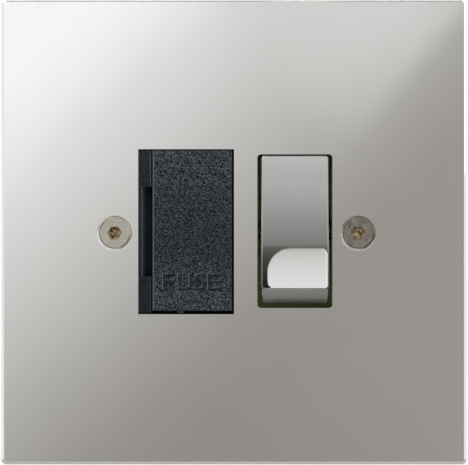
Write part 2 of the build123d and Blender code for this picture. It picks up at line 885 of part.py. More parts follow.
# Plunger springs, one behind each plunger
spring_front = hub_back - plunger_bore_depth + spring_wire_r + spring_seat_gap
spring_height = -plunger_tail - spring_wire_r - spring_seat_gap - spring_front
with BuildPart() as plunger_springs:
    for pole in (-pole_spacing / 2, pole_spacing / 2):
        spring_start = rocker_plane.offset(pole).from_local_coords(Vector(spring_front, 0, 0))
        with BuildLine() as coil:
            Helix(
                spring_height / spring_turns,
                spring_height,
                spring_r,
                center=spring_start,
                direction=rocker_plane.x_dir,
            )
        with BuildSketch(Plane(coil.line @ 0, z_dir=coil.line % 0)):
            Circle(spring_wire_r)
        sweep(path=coil.line, is_frenet=True)


def bridge_face(x, lift):
    """Plane across a tilted bridge, raised from its rear face towards the rear."""
    pivot = tilted(bridge_y, rocker_z, half_throw, x)
    seat = pivot.from_local_coords(Vector(lift, 0, 0))
    return Plane(seat, x_dir=(1, 0, 0), z_dir=pivot.x_dir)


def contact_bridge(x):
    """See-saw contact with rounded ends and a fulcrum groove, tilted to the off position."""
    with BuildSketch(bridge_face(x, -bridge_t)) as outline:
        RectangleRounded(bridge_w, 2 * bridge_half, bridge_end_r)
    extrude(outline.sketch, amount=bridge_t)
    with BuildSketch(tilted(bridge_y, rocker_z, half_throw, x)) as groove:
        Circle(fulcrum_r + contact_gap)
    extrude(groove.sketch, amount=bridge_w, both=True, mode=Mode.SUBTRACT)


def moving_tip(x):
    """Contact tip on the rear of a bridge's upper end."""
    with BuildSketch(bridge_face(x, 0)) as outline:
        with Locations((0, -contact_z)):
            Circle(contact_r)
    extrude(outline.sketch, amount=contact_t)


with BuildPart() as line_bridge:
    contact_bridge(line_x)

with BuildPart() as neutral_bridge:
    contact_bridge(neutral_x)

with BuildPart() as line_moving_tip:
    moving_tip(line_x)

with BuildPart() as neutral_moving_tip:
    moving_tip(neutral_x)

pieces = {
    "front_plate": front_plate,
    "plate_screws": plate_screws,
    "mounting_frame": mounting_frame,
    "screw_bushes": screw_bushes,
    "front_housing": front_housing,
    "rear_base": rear_base,
    "assembly_screws": assembly_screws,
    "fuse_carrier": fuse_carrier,
    "fuse_body": fuse_body,
    "fuse_end_caps": fuse_end_caps,
    "upper_fuse_clip": upper_fuse_clip,
    "lower_fuse_clip": lower_fuse_clip,
    "line_link": line_link,
    "supply_line_terminal": supply_line_terminal,
    "supply_neutral_terminal": supply_neutral_terminal,
    "load_line_terminal": load_line_terminal,
    "load_neutral_terminal": load_neutral_terminal,
    "earth_terminals": earth_terminals,
    "earth_straps": earth_straps,
    "terminal_screws": terminal_screws,
    "fixed_tips": fixed_tips,
    "rocker_cap": rocker_cap,
    "rocker_body": rocker_body,
    "plungers": plungers,
    "plunger_springs": plunger_springs,
    "line_bridge": line_bridge,
    "line_moving_tip": line_moving_tip,
    "neutral_bridge": neutral_bridge,
    "neutral_moving_tip": neutral_moving_tip,
}

os.makedirs("parts", exist_ok=True)
for name, piece in pieces.items():
    piece.part.label = name
    export_step(piece.part, f"parts/{name}.step")
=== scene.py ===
import json
import math

import bpy
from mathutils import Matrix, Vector


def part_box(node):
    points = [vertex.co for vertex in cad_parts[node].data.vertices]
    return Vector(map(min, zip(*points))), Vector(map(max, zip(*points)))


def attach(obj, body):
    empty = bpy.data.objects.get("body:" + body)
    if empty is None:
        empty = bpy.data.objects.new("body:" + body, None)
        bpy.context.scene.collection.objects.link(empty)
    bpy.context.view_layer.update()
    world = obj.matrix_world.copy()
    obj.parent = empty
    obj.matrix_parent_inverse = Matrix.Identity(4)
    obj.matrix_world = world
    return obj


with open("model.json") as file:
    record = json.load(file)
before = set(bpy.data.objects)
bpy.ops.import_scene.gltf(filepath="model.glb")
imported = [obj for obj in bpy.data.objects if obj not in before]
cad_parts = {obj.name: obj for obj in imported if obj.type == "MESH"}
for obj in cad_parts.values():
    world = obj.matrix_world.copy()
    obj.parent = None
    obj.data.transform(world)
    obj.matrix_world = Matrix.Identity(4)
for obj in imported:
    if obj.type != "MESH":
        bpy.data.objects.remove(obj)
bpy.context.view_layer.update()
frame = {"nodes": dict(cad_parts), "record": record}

MM = 0.001

# Camera: straight on, far away, with the picture's width laid across the plate's front
PHOTO_WIDTH_PX = 468
PLATE_WIDTH_PX = 465.4
PLATE_RISE_PX = 0.8
CAMERA_DISTANCE = 3.0
CAMERA_REACH = 100.0
SENSOR = 36.0

plate_low, plate_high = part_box("front_plate")
plate_front = plate_low.y
pixel = (plate_high.x - plate_low.x) / PLATE_WIDTH_PX

# Colours that several finishes share
PLATE_COLOUR = (0.80, 0.80, 0.80)
WHITE = (1.0, 1.0, 1.0, 1.0)
BLACK = (0.0008, 0.0009, 0.001, 1)

# Shader nodes: the usual range of noise, the work of a gap test, and a colour mix's sockets
NOISE_LOW, NOISE_HIGH = 0.3, 0.7
SHELTER_SAMPLES = 6
MIX_SHARE, MIX_FIRST, MIX_SECOND, MIX_RESULT = 0, 6, 7, 2


def shade(colour, factor):
    """A colour times a factor, as RGBA."""
    return tuple(min(1.0, channel * factor) for channel in colour[:3]) + (1.0,)


class Shader:
    """A material with one Principled shader and short calls for the nodes that feed it."""

    def __init__(self, name, **sockets):
        self.material = bpy.data.materials.new(name)
        self.material.use_nodes = True
        self.tree = self.material.node_tree
        self.surface = self.tree.nodes["Principled BSDF"]
        for socket, value in sockets.items():
            self.feed(value, socket.replace("_", " "))
        self.coordinates = self.node("ShaderNodeTexCoord", {})
        self.place = self.coordinates["Object"]

    def join(self, source, socket):
        """Links a source to a socket, or sets the socket to a plain value."""
        if isinstance(source, (int, float, tuple)):
            socket.default_value = source
        else:
            self.tree.links.new(source, socket)

    def feed(self, source, socket):
        self.join(source, self.surface.inputs[socket])

    def node(self, kind, inputs, **settings):
        """The outputs of a new node, which is given its settings and inputs."""
        made = self.tree.nodes.new(kind)
        for key, value in settings.items():
            setattr(made, key, value)
        for socket, source in inputs.items():
            self.join(source, made.inputs[socket])
        return made.outputs

    def math(self, operation, *values):
        return self.node("ShaderNodeMath", dict(enumerate(values)), operation=operation)[0]

    def product(self, first, *others):
        for other in others:
            first = self.math("MULTIPLY", first, other)
        return first

    def axes(self, source=None):
        """X, Y and Z of a place, which is the object's own place unless given."""
        return self.node("ShaderNodeSeparateXYZ", {0: source or self.place})

    def shelter(self, reach):
        """How open a surface is: 1 in the open and 0 deep in a gap."""
        inputs = {"Distance": reach}
        return self.node("ShaderNodeAmbientOcclusion", inputs, samples=SHELTER_SAMPLES)["AO"]

    def noise(self, cell, detail=4.0, stretch=(1, 1, 1)):
        """Noise whose grains are about one cell across, in metres."""
        place = self.node("ShaderNodeMapping", {"Vector": self.place, "Scale": stretch})[0]
        inputs = {"Vector": place, "Scale": 1 / cell, "Detail": detail}
        return self.node("ShaderNodeTexNoise", inputs)["Fac"]

    def cells(self, size):
        """A random value for each of many small cells, about one size across, in metres."""
        inputs = {"Vector": self.place, "Scale": 1 / size}
        return self.axes(self.node("ShaderNodeTexVoronoi", inputs)["Color"])[0]

    def span(self, source, low, high, start=NOISE_LOW, end=NOISE_HIGH):
        """Low up to the start, high from the end on, and even between them."""
        limits = {"From Min": start, "From Max": end, "To Min": low, "To Max": high}
        return self.node("ShaderNodeMapRange", {"Value": source, **limits})["Result"]

    def rises(self, source, start, end):
        return self.span(source, 0.0, 1.0, start, end)

    def falls(self, source, start, end):
        return self.span(source, 1.0, 0.0, start, end)

    def band(self, source, start, end):
        """1 between two limits, each a pair of values over which it fades, and 0 outside."""
        return self.product(self.rises(source, *start), self.falls(source, *end))

    def ramp(self, source, stops):
        ramp = self.tree.nodes.new("ShaderNodeValToRGB")
        elements = ramp.color_ramp.elements
        while len(elements) < len(stops):
            elements.new(0.5)
        for element, (position, colour) in zip(elements, stops):
            element.position = position
            element.color = colour
        self.join(source, ramp.inputs["Fac"])
        return ramp.outputs["Color"]

    def tones(self, noise, first, second):
        """From one colour to another over the usual range of noise."""
        return self.ramp(noise, [(NOISE_LOW, first), (NOISE_HIGH, second)])

    def mix(self, share, first, second):
        inputs = {MIX_SHARE: share, MIX_FIRST: first, MIX_SECOND: second}
        return self.node("ShaderNodeMix", inputs, data_type="RGBA")[MIX_RESULT]

    def bump(self, height, distance):
        inputs = {"Height": height, "Distance": distance, "Strength": 1.0}
        self.feed(self.node("ShaderNodeBump", inputs)["Normal"], "Normal")


# Plain finishes: uneven tone in patches, and uneven polish and relief by one fine grain
METAL_PATCH, PLASTIC_PATCH = 9 * MM, 6 * MM


def grained(made, colour, tone, patch, fine, roughness, relief):
    patches = made.noise(patch)
    tones = made.tones(patches, shade(colour, 1 - tone), shade(colour, 1 + tone))
    made.feed(tones, "Base Color")
    made.feed(made.span(fine, *roughness), "Roughness")
    made.bump(fine, relief)
    return made.material


def metal(name, colour, roughness, grain, relief, stretch=(1, 1, 1), tone=0.06):
    made = Shader(name, Metallic=1.0)
    fine = made.noise(grain, stretch=stretch)
    return grained(made, colour, tone, METAL_PATCH, fine, roughness, relief)


def plastic(name, colour, roughness, grain, relief, tone=0.12, specular=0.35):
    made = Shader(name, Specular_IOR_Level=specular)
    fine = made.noise(grain, detail=3.0)
    return grained(made, colour, tone, PLASTIC_PATCH, fine, roughness, relief)


# Plate screws: turning rings, the residue in the sockets, a painted shadow line and a painted
# highlight round each head, and painted shade on the right head. Places on a head are shares
# of its radius, and directions are degrees from the right with the limits of a fade.
RING_PITCH, RING_RELIEF = 0.62 * MM, 0.004 * MM
RING_WANDER, WANDER_CELL = 0.45 * MM, 0.7 * MM
LEFT_HEAD = ((0.41, 0.395, 0.335, 1), (0.47, 0.455, 0.395, 1))
# Painted shade: the right head is a darker copy of the same steel
SHADED_RIGHT_HEAD = ((0.133, 0.124, 0.104, 1), (0.186, 0.172, 0.146, 1))
HEAD_PATCH = 1.1 * MM
HEAD_ROUGHNESS = (0.34, 0.5)
HEAD_STAIN, STAIN_SHARE = (0.36, 0.33, 0.25, 1), 0.4
LINE_START, LINE_END = (0.89, 0.91), (0.945, 0.96)
# Painted shadow: a dark line near each head's edge, on its upper left, lower left and lower right
SHADOW_LINE_COLOUR = (0.06, 0.055, 0.045, 1)
SHADOW_LINE_DIRECTIONS = [(225, 0.4, 0.8), (145, 0.8, 0.95), (320, 0.8, 0.95)]
# Painted highlight: a light crescent at the lower left of each head's edge, weaker on the right
# head
RIM_HIGHLIGHT_COLOUR = (0.96, 0.955, 0.94, 1)
RIM_HIGHLIGHT_DIRECTION = (225, 0.35, 0.75)
RIGHT_HIGHLIGHT_SHARE = 0.55
SOCKET_RADIUS, SOCKET_BLUR = 1.15 * MM, 0.04
RESIDUE_CELL = 0.35 * MM
RESIDUE_STOPS = [
    (0.36, (0.03, 0.019, 0.009, 1)), (0.5, (0.27, 0.185, 0.085, 1)), (0.66, (0.47, 0.41, 0.29, 1)),
]


def plate_screw_steel():
    """Faced steel heads; the right one is the same steel painted darker, as painted shade."""
    made = Shader("plate_screw_steel", Metallic=1.0)
    low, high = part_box("plate_screws")
    head = (high.z - low.z) / 2
    spread = (high.x - low.x) / 2 - head
    x, _, z = made.axes()
    side = made.math("SUBTRACT", x, (low.x + high.x) / 2)
    on_right = made.math("GREATER_THAN", side, 0.0)
    across = made.math("SUBTRACT", side, made.span(on_right, -spread, spread, 0.0, 1.0))
    along = made.math("SUBTRACT", z, (low.z + high.z) / 2)
    squares = made.math("ADD", made.product(across, across), made.product(along, along))
    radius = made.math("SQRT", squares)
    outward = made.math("DIVIDE", radius, head)

    def toward(angle, start, end):
        """Share of the head that lies in one direction from its middle."""
        turn = math.radians(angle)
        right, up = made.product(across, math.cos(turn)), made.product(along, math.sin(turn))
        ahead = made.math("DIVIDE", made.math("ADD", right, up), radius)
        return made.rises(ahead, start, end)

    wander = made.product(made.noise(WANDER_CELL, detail=2.0), RING_WANDER)
    turns = made.product(made.math("ADD", radius, wander), 2 * math.pi / RING_PITCH)
    rings = made.rises(made.math("SINE", turns), -1.0, 1.0)
    # Painted shade: the right head takes the darker copy of the steel
    face = made.mix(on_right, made.mix(rings, *LEFT_HEAD), made.mix(rings, *SHADED_RIGHT_HEAD))
    patches = made.noise(HEAD_PATCH)
    face = made.mix(made.span(patches, 0.0, STAIN_SHARE), face, HEAD_STAIN)

    # Painted shadow: a dark line near the edge of each head, on its shaded sides
    shaded = 0.0
    for direction in SHADOW_LINE_DIRECTIONS:
        shaded = made.math("MAXIMUM", toward(*direction), shaded)
    line = made.band(outward, LINE_START, LINE_END)
    face = made.mix(made.product(line, shaded), face, SHADOW_LINE_COLOUR)
    # Painted highlight at the lower left of each head's edge
    rim_highlight = made.product(made.rises(outward, *LINE_END), toward(*RIM_HIGHLIGHT_DIRECTION))
    rim_highlight = made.product(rim_highlight, made.span(on_right, 1.0, RIGHT_HIGHLIGHT_SHARE, 0.0, 1.0))
    face = made.mix(rim_highlight, face, RIM_HIGHLIGHT_COLOUR)

    residue = made.ramp(made.noise(RESIDUE_CELL), RESIDUE_STOPS)
    socket = [SOCKET_RADIUS * (1 - SOCKET_BLUR), SOCKET_RADIUS * (1 + SOCKET_BLUR)]
    made.feed(made.mix(made.falls(radius, *socket), face, residue), "Base Color")
    made.feed(made.span(patches, *HEAD_ROUGHNESS), "Roughness")
    made.bump(rings, RING_RELIEF)
    return made.material


# Fuse carrier: a coarse spark-eroded face, with painted shade darkening its middle. Edges and
# sides are told by the direction of the surface, as limits of a fade.
ERODED_CELL = 0.12 * MM
ERODED_STOPS = [(0.45, (0.001, 0.002, 0.004, 1)), (1.0, (0.122, 0.151, 0.168, 1))]
ERODED_ROUGHNESS = (0.55, 0.42)
ERODED_SPECULAR = 0.1
ERODED_RELIEF, RELIEF_CELL = 0.1 * MM, 0.2 * MM
MIDDLE_SHADE = 0.38
MIDDLE_LIMITS = (4 * MM, 13 * MM)
EDGE_FRONT, EDGE_BACK = (-0.97, -0.85), (-0.35, -0.2)
# Painted highlight on the left edge
LEFT_EDGE_HIGHLIGHT, LEFT_EDGE_LIMITS = (0.085, 0.10, 0.115, 1), (-0.4, -0.2)
# Painted shade on the upper edge
TOP_EDGE_SHADE, TOP_EDGE_SHADE_LIMITS = (0.012, 0.014, 0.016, 1), (0.4, 0.7)


def eroded_face(made):
    """Grain of the carrier's face, and its colour, with painted shade in its middle."""
    grain = made.cells(ERODED_CELL)
    height = made.math("ABSOLUTE", made.axes()[2])
    # Painted shade: the middle of the face is darkened
    middle = made.span(height, MIDDLE_SHADE, 0.0, *MIDDLE_LIMITS)
    return grain, made.mix(middle, made.ramp(grain, ERODED_STOPS), BLACK)


def carrier_plastic():
    """The carrier's face, with a painted highlight on its left edge and painted shade on its upper
    one.
    """
    made = Shader("carrier_plastic", Specular_IOR_Level=ERODED_SPECULAR)
    grain, face = eroded_face(made)
    aside, turned, up = made.axes(made.coordinates["Normal"])
    rounded = made.band(turned, EDGE_FRONT, EDGE_BACK)
    # Painted highlight: the rounded left edge is lightened
    left_edge_highlight = made.product(rounded, made.falls(aside, *LEFT_EDGE_LIMITS))
    face = made.mix(left_edge_highlight, face, LEFT_EDGE_HIGHLIGHT)
    # Painted shade: the rounded upper edge is darkened
    top_edge_shade = made.product(rounded, made.rises(up, *TOP_EDGE_SHADE_LIMITS))
    made.feed(made.mix(top_edge_shade, face, TOP_EDGE_SHADE), "Base Color")
    made.feed(made.span(grain, *ERODED_ROUGHNESS), "Roughness")
    made.bump(made.noise(RELIEF_CELL, detail=1.0), ERODED_RELIEF)
    return made.material


# Raised letters: dark on top, with painted light and shade on their edges: light where they face
# left and a little upward, and dark where they face away
LETTER_TOP_SHARES = (0.5, 0.4)
LETTER_EDGE_LIMITS = (-0.97, -0.88)
LETTER_LIGHT_RISE = 0.55
LETTER_LIGHT_LIMITS = (-0.7, 0.7)
LETTER_PAINTED_LIGHT_STOPS = [
    (0.4, BLACK), (0.75, (0.12, 0.14, 0.155, 1)), (1.0, (0.27, 0.305, 0.33, 1)),
]


def letter_plastic():
    made = Shader("letter_plastic", Specular_IOR_Level=ERODED_SPECULAR)
    aside, turned, up = made.axes(made.coordinates["Normal"])
    # Painted light and shade on the letters' edges, by which way they face
    leftward = made.math("SUBTRACT", made.product(up, LETTER_LIGHT_RISE), aside)
    edge = made.ramp(made.rises(leftward, *LETTER_LIGHT_LIMITS), LETTER_PAINTED_LIGHT_STOPS)
    grain, face = eroded_face(made)
    top = made.mix(made.span(grain, *LETTER_TOP_SHARES), face, BLACK)
    made.feed(made.mix(made.rises(turned, *LETTER_EDGE_LIMITS), top, edge), "Base Color")
    made.feed(made.span(grain, *ERODED_ROUGHNESS), "Roughness")
    return made.material


# Housing: its strip beside the carrier with the blade recess, and the well round the rocker
STRIP_RIGHT = -15.3 * MM
STRIP_FOOT, STRIP_TOP = -14.85 * MM, 14.93 * MM
STRIP_FOOT_SHARE = 0.4
STRIP_DEPTH = (0.2 * MM, 0.6 * MM)
# Painted highlight: a lighter line along the strip's right edge, fainter towards its foot
STRIP_EDGE_WIDTH, STRIP_EDGE_FOOT_SHARE = 0.22 * MM, 0.35
STRIP_EDGE_HIGHLIGHT = (0.045, 0.052, 0.06, 1)
RECESS_LEFT, RECESS_RIGHT = -17.05 * MM, -15.25 * MM
RECESS_FOOT, RECESS_TOP = -8.25 * MM, 8.3 * MM
# Painted light and shade in the blade recess: a light rim at its left, then darker to black at its
# right
RECESS_PAINTED_LIGHT = [
    (0.0, (0.12, 0.14, 0.155, 1)), (0.1, (0.12, 0.14, 0.155, 1)), (0.2, (0.06, 0.068, 0.08, 1)),
    (0.35, (0.036, 0.041, 0.05, 1)), (0.55, (0.014, 0.016, 0.019, 1)),
    (0.9, (0.01, 0.011, 0.012, 1)), (1.0, BLACK),
]
EDGE_BLUR = 0.04 * MM
WELL_ASIDE, WELL_ABOVE = (7.2 * MM, 7.8 * MM), (15.4 * MM, 16.0 * MM)
# Painted light: the well is painted a light olive so that the shaded gap round the rocker shows
# olive
WELL_PAINTED_LIGHT_OLIVES = ((0.52, 0.59, 0.29, 1), (0.58, 0.655, 0.325, 1))
GAP_REACH = 2.5 * MM
OPEN_LIMITS = (0.25, 0.8)
HOUSING_GRAIN, HOUSING_RELIEF = 0.22 * MM, 0.04 * MM
HOUSING_STOPS = [(0.40, BLACK), (0.62, (0.023, 0.03, 0.038, 1))]
HOUSING_ROUGHNESS = (0.42, 0.6)
HOUSING_SPECULAR = (0.02, 0.14)


def housing_plastic():
    """Black moulding with painted shade in its gaps, and painted light in its recess, at the
    strip's edge and in the olive well.
    """
    made = Shader("housing_plastic")
    x, y, z = made.axes()
    at_front = made.falls(y, *STRIP_DEPTH)

    def within(place, start, end):
        limits = [(limit - EDGE_BLUR, limit + EDGE_BLUR) for limit in (start, end)]
        return made.band(place, *limits)

    fine = made.noise(HOUSING_GRAIN, detail=1.0)
    openness = made.shelter(GAP_REACH)
    toward_foot = made.span(z, STRIP_FOOT_SHARE, 0.0, STRIP_FOOT, STRIP_TOP)
    black = made.mix(toward_foot, made.ramp(fine, HOUSING_STOPS), BLACK)
    # Painted shade: the moulding is darkened in its gaps, by how sheltered the surface is
    black = made.mix(made.rises(openness, *OPEN_LIMITS), BLACK, black)

    low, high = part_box("rocker_cap")
    aside = made.math("ABSOLUTE", made.math("SUBTRACT", x, (low.x + high.x) / 2))
    above = made.math("ABSOLUTE", made.math("SUBTRACT", z, (low.z + high.z) / 2))
    in_well = made.product(made.falls(aside, *WELL_ASIDE), made.falls(above, *WELL_ABOVE))
    # Painted light: light olive inside the shaded well
    colour = made.mix(in_well, black, made.tones(fine, *WELL_PAINTED_LIGHT_OLIVES))

    rows = made.product(at_front, within(z, RECESS_FOOT, RECESS_TOP))
    recess = made.product(rows, within(x, RECESS_LEFT, RECESS_RIGHT))
    # Painted highlight on the recess's left rim, then painted shade deeper into it
    slope = made.ramp(made.rises(x, RECESS_LEFT, RECESS_RIGHT), RECESS_PAINTED_LIGHT)
    colour = made.mix(recess, colour, slope)
    # Painted highlight along the strip's right edge
    edge = made.product(
        within(x, STRIP_RIGHT - STRIP_EDGE_WIDTH, STRIP_RIGHT),
        made.span(z, STRIP_EDGE_FOOT_SHARE, 1.0, RECESS_FOOT, RECESS_TOP),
        made.math("SUBTRACT", at_front, rows),
    )
    colour = made.mix(edge, colour, STRIP_EDGE_HIGHLIGHT)
    # Painted shade: black on the front beyond the strip's upper and lower ends, in the gaps there
    strip = made.product(at_front, made.falls(x, STRIP_RIGHT, STRIP_RIGHT + EDGE_BLUR))
    kept = made.product(strip, within(z, STRIP_FOOT, STRIP_TOP))
    colour = made.mix(made.math("SUBTRACT", strip, kept), colour, BLACK)

    made.feed(colour, "Base Color")
    # The specular level is lowered in the gaps as well
    made.feed(made.span(openness, *HOUSING_SPECULAR, *OPEN_LIMITS), "Specular IOR Level")
    made.feed(made.span(fine, *HOUSING_ROUGHNESS), "Roughness")
    made.bump(fine, HOUSING_RELIEF)
    return made.material


# Polished metal: a faint haze and sheen, and the satin finish of what isn't polished
HAZE_CELL, HAZE_TONE = 14 * MM, 0.01
SHEEN_CELL = 5 * MM
PLATE_SHEEN, ROCKER_SHEEN = (0.012, 0.022), (0.022, 0.03)
SATIN_GRAIN, SATIN_ROUGHNESS = 0.8 * MM, (0.31, 0.36)


def polished(name, sheen_of, satin_and_paint_of):
    """Mirror metal with a roughness, and satin shares whose tints paint highlight and shade, made
    by functions.
    """
    made = Shader(name, Metallic=1.0)
    haze = made.noise(HAZE_CELL)
    tones = [shade(PLATE_COLOUR, 1 - HAZE_TONE), shade(PLATE_COLOUR, 1 + HAZE_TONE)]
    colour, grazing = made.tones(haze, *tones), WHITE
    roughness = sheen_of(made)
    satin = made.span(made.noise(SATIN_GRAIN, detail=1.0), *SATIN_ROUGHNESS)
    for share, tint in satin_and_paint_of(made):
        colour = made.mix(share, colour, tint)
        grazing = made.mix(share, grazing, tint)
        kept = made.product(roughness, made.math("SUBTRACT", 1.0, share))
        roughness = made.math("ADD", kept, made.product(satin, share))
    made.feed(colour, "Base Color")
    made.feed(grazing, "Specular Tint")
    made.feed(roughness, "Roughness")
    return made


def sheen(made, limits):
    return made.span(made.noise(SHEEN_CELL, detail=3.0), *limits)


# Plate: satin on its upper edge, by the direction of the surface, and some way behind its face.
# Its upper edge is also painted lighter, as a painted highlight.
SATIN_DEPTH = (0.9 * MM, 1.1 * MM)
TOP_LIMITS, TOP_HIGHLIGHT = (0.1, 0.3), 1.18


def plate_sheen(made):
    return sheen(made, PLATE_SHEEN)


def plate_satin_and_highlight(made):
    behind = made.rises(made.axes()[1], *[plate_front + depth for depth in SATIN_DEPTH])
    on_top = made.rises(made.axes(made.coordinates["Normal"])[2], *TOP_LIMITS)
    # Painted highlight: the upper edge is painted lighter than the plate
    return [(behind, shade(PLATE_COLOUR, 1.0)), (on_top, shade(PLATE_COLOUR, TOP_HIGHLIGHT))]


# Rocker: sharp in the finger dish and softer above it. Its end faces, which turn up and down,
# its rounded side edges and the crest of its lower end are satin, and are painted darker as
# painted shade, the side edges the more so towards the bottom.
DISH_TOP, ABOVE_DISH_SHEEN = (-2 * MM, 7 * MM), 0.11
ROCKER_HEIGHT = (-11 * MM, 11 * MM)
SIDE_FRONT, SIDE_BACK, SIDE_UPRIGHT = (0.06, 0.2), (0.85, 0.95), (0.5, 0.7)
SIDE_SHADES = [(0.0, 0.0), (0.09, 0.012), (0.26, 0.07), (0.42, 0.19), (0.7, 0.3)]
END_LIMITS = (0.6, 0.8)
LOWER_END_SHADE, UPPER_END_SHADE = (0.46, 0.46, 0.435, 1), (0.15, 0.15, 0.14, 1)
CREST_START, CREST_END = (-0.62, -0.5), (-0.15, 0.05)
CREST_HEIGHT, CREST_SHADE = (0.02, 0.04), 0.1
ALONG_WIDTH = 0.95


def rocker_sheen(made):
    above_dish = made.span(made.axes()[2], 0.0, ABOVE_DISH_SHEEN, *DISH_TOP)
    return made.math("ADD", sheen(made, ROCKER_SHEEN), above_dish)


def rocker_satin_and_shade(made):
    aside, _, up = made.axes(made.coordinates["Normal"])
    height = made.rises(made.axes()[2], *ROCKER_HEIGHT)
    crest = made.band(up, CREST_START, CREST_END)
    crest = made.product(crest, made.falls(height, *CREST_HEIGHT))
    up, aside = made.math("ABSOLUTE", up), made.math("ABSOLUTE", aside)
    sides = made.product(made.band(aside, SIDE_FRONT, SIDE_BACK), made.falls(up, *SIDE_UPRIGHT))
    side_stops = [(place, shade(PLATE_COLOUR, tint)) for place, tint in SIDE_SHADES]
    # Painted shade on the crest, the end faces and the side edges
    return [
        (crest, shade(PLATE_COLOUR, CREST_SHADE)),
        (made.rises(up, *END_LIMITS), made.mix(height, LOWER_END_SHADE, UPPER_END_SHADE)),
        (sides, made.ramp(height, side_stops)),
    ]


def rocker_metal():
    """Polished along its width, so reflections are soft up and down and sharp across."""
    made = polished("rocker_metal", rocker_sheen, rocker_satin_and_shade)
    made.feed(ALONG_WIDTH, "Anisotropic")
    tangent = made.node("ShaderNodeTangent", {}, direction_type="RADIAL", axis="X")
    made.feed(tangent[0], "Tangent")
    return made.material


# Rows of plain finishes: name, colour, lowest and highest roughness, grain and relief, then
# the grain's stretch and the tone of a metal, or the tone and the specular level of a plastic
METALS = [
    ("screw_steel", (0.52, 0.51, 0.47), (0.3, 0.45), 0.25 * MM, 0.004 * MM),
    ("zinc_steel", (0.56, 0.57, 0.53), (0.28, 0.42), 0.8 * MM, 0.006 * MM, (1, 1, 1), 0.1),
    ("brass", (0.70, 0.50, 0.20), (0.2, 0.34), 0.3 * MM, 0.004 * MM, (1, 1, 0.15)),
    ("copper_strip", (0.72, 0.42, 0.26), (0.25, 0.4), 0.4 * MM, 0.004 * MM, (0.2, 1, 1)),
    ("spring_bronze", (0.66, 0.48, 0.25), (0.22, 0.36), 0.3 * MM, 0.003 * MM),
    ("contact_silver", (0.8, 0.79, 0.76), (0.2, 0.38), 0.2 * MM, 0.004 * MM),
    ("spring_steel", (0.48, 0.48, 0.48), (0.25, 0.4), 0.15 * MM, 0.003 * MM),
    ("nickel_cap", (0.68, 0.66, 0.62), (0.16, 0.3), 0.4 * MM, 0.003 * MM, (1, 1, 0.1)),
]
PLASTICS = [
    ("ceramic", (0.82, 0.79, 0.72), (0.35, 0.55), 0.5 * MM, 0.01 * MM, 0.04, 0.5),
    ("base_plastic", (0.022, 0.023, 0.025), (0.4, 0.58), 0.3 * MM, 0.014 * MM),
    ("rocker_plastic", (0.016, 0.018, 0.012), (0.42, 0.6), 0.3 * MM, 0.012 * MM),
    ("plunger_nylon", (0.78, 0.76, 0.68), (0.3, 0.45), 0.4 * MM, 0.008 * MM, 0.04, 0.5),
]
SMOOTH_ANGLE = math.radians(28)

finishes = {
    "plate_metal": polished("plate_metal", plate_sheen, plate_satin_and_highlight).material,
    "rocker_metal": rocker_metal(),
    "housing_plastic": housing_plastic(),
    "carrier_plastic": carrier_plastic(),
}
for maker, rows in ((metal, METALS), (plastic, PLASTICS)):
    for name, *looks in rows:
        finishes[name] = maker(name, *looks)

slots = {part["node"]: part["material_slot"] for part in frame["record"]["subparts"]}
for name, node in frame["nodes"].items():
    node.data.materials.clear()
    node.data.materials.append(finishes[slots[name]])
    node.data.shade_smooth()
    node.data.set_sharp_from_angle(angle=SMOOTH_ANGLE)
frame["nodes"]["plate_screws"].data.materials[0] = plate_screw_steel()


def mesh_object(name, points, faces, material):
    mesh = bpy.data.meshes.new(name)
    mesh.from_pydata(points, [], faces)
    mesh.materials.append(material)
    made = bpy.data.objects.new(name, mesh)
    bpy.context.collection.objects.link(made)
    return made


# Raised word on the carrier's face: each letter with its left and right. Its edge is in the
# font's own units, and its outline is drawn in by a share of that edge.
LETTERS = [
    ("F", -13.25 * MM, -11.05 * MM), ("U", -10.5 * MM, -7.85 * MM),
    ("S", -7.3 * MM, -5.35 * MM), ("E", -4.95 * MM, -2.5 * MM),
]
LETTER_FOOT, LETTER_HEIGHT = -10.75 * MM, 3.1 * MM
LETTER_RELIEF, LETTER_SINK = 0.28 * MM, 0.05 * MM
LETTER_EDGE, LETTER_DRAW_IN = 0.045, 0.7


def letter_mesh(letter):
    """A plain capital with bevelled edges, in the font's own units."""
    font = bpy.data.curves.new("lettering", "FONT")
    font.body = letter
    font.extrude = LETTER_EDGE
    font.bevel_depth = LETTER_EDGE
    font.offset = -LETTER_DRAW_IN * LETTER_EDGE
    source = bpy.data.objects.new("lettering", font)
    bpy.context.collection.objects.link(source)
    bpy.context.view_layer.update()
    evaluated = source.evaluated_get(bpy.context.evaluated_depsgraph_get())
    mesh = bpy.data.meshes.new_from_object(evaluated)
    bpy.data.objects.remove(source)
    return mesh


def raised_word(letters, body, node):
    """Capitals that stand on a node's front face, as one mesh that rides on a body."""
    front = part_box(node)[0].y
    points, faces = [], []
    for letter, left, right in letters:
        mesh = letter_mesh(letter)
        lows = [min(v.co[axis] for v in mesh.vertices) for axis in range(3)]
        highs = [max(v.co[axis] for v in mesh.vertices) for axis in range(3)]
        wide = (right - left) / (highs[0] - lows[0])
        tall = LETTER_HEIGHT / (highs[1] - lows[1])
        deep = (LETTER_RELIEF + LETTER_SINK) / (highs[2] - lows[2])
        first = len(points)
        for vertex in mesh.vertices:
            x, y, z = (value - low for value, low in zip(vertex.co, lows))
            outward = front + LETTER_SINK - z * deep
            points.append((left + x * wide, outward, LETTER_FOOT + y * tall))
        faces += [tuple(first + corner for corner in face.vertices) for face in mesh.polygons]
    made = mesh_object("fuse_lettering", points, faces, letter_plastic())
    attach(made, body)


raised_word(LETTERS, "carrier", "fuse_carrier")


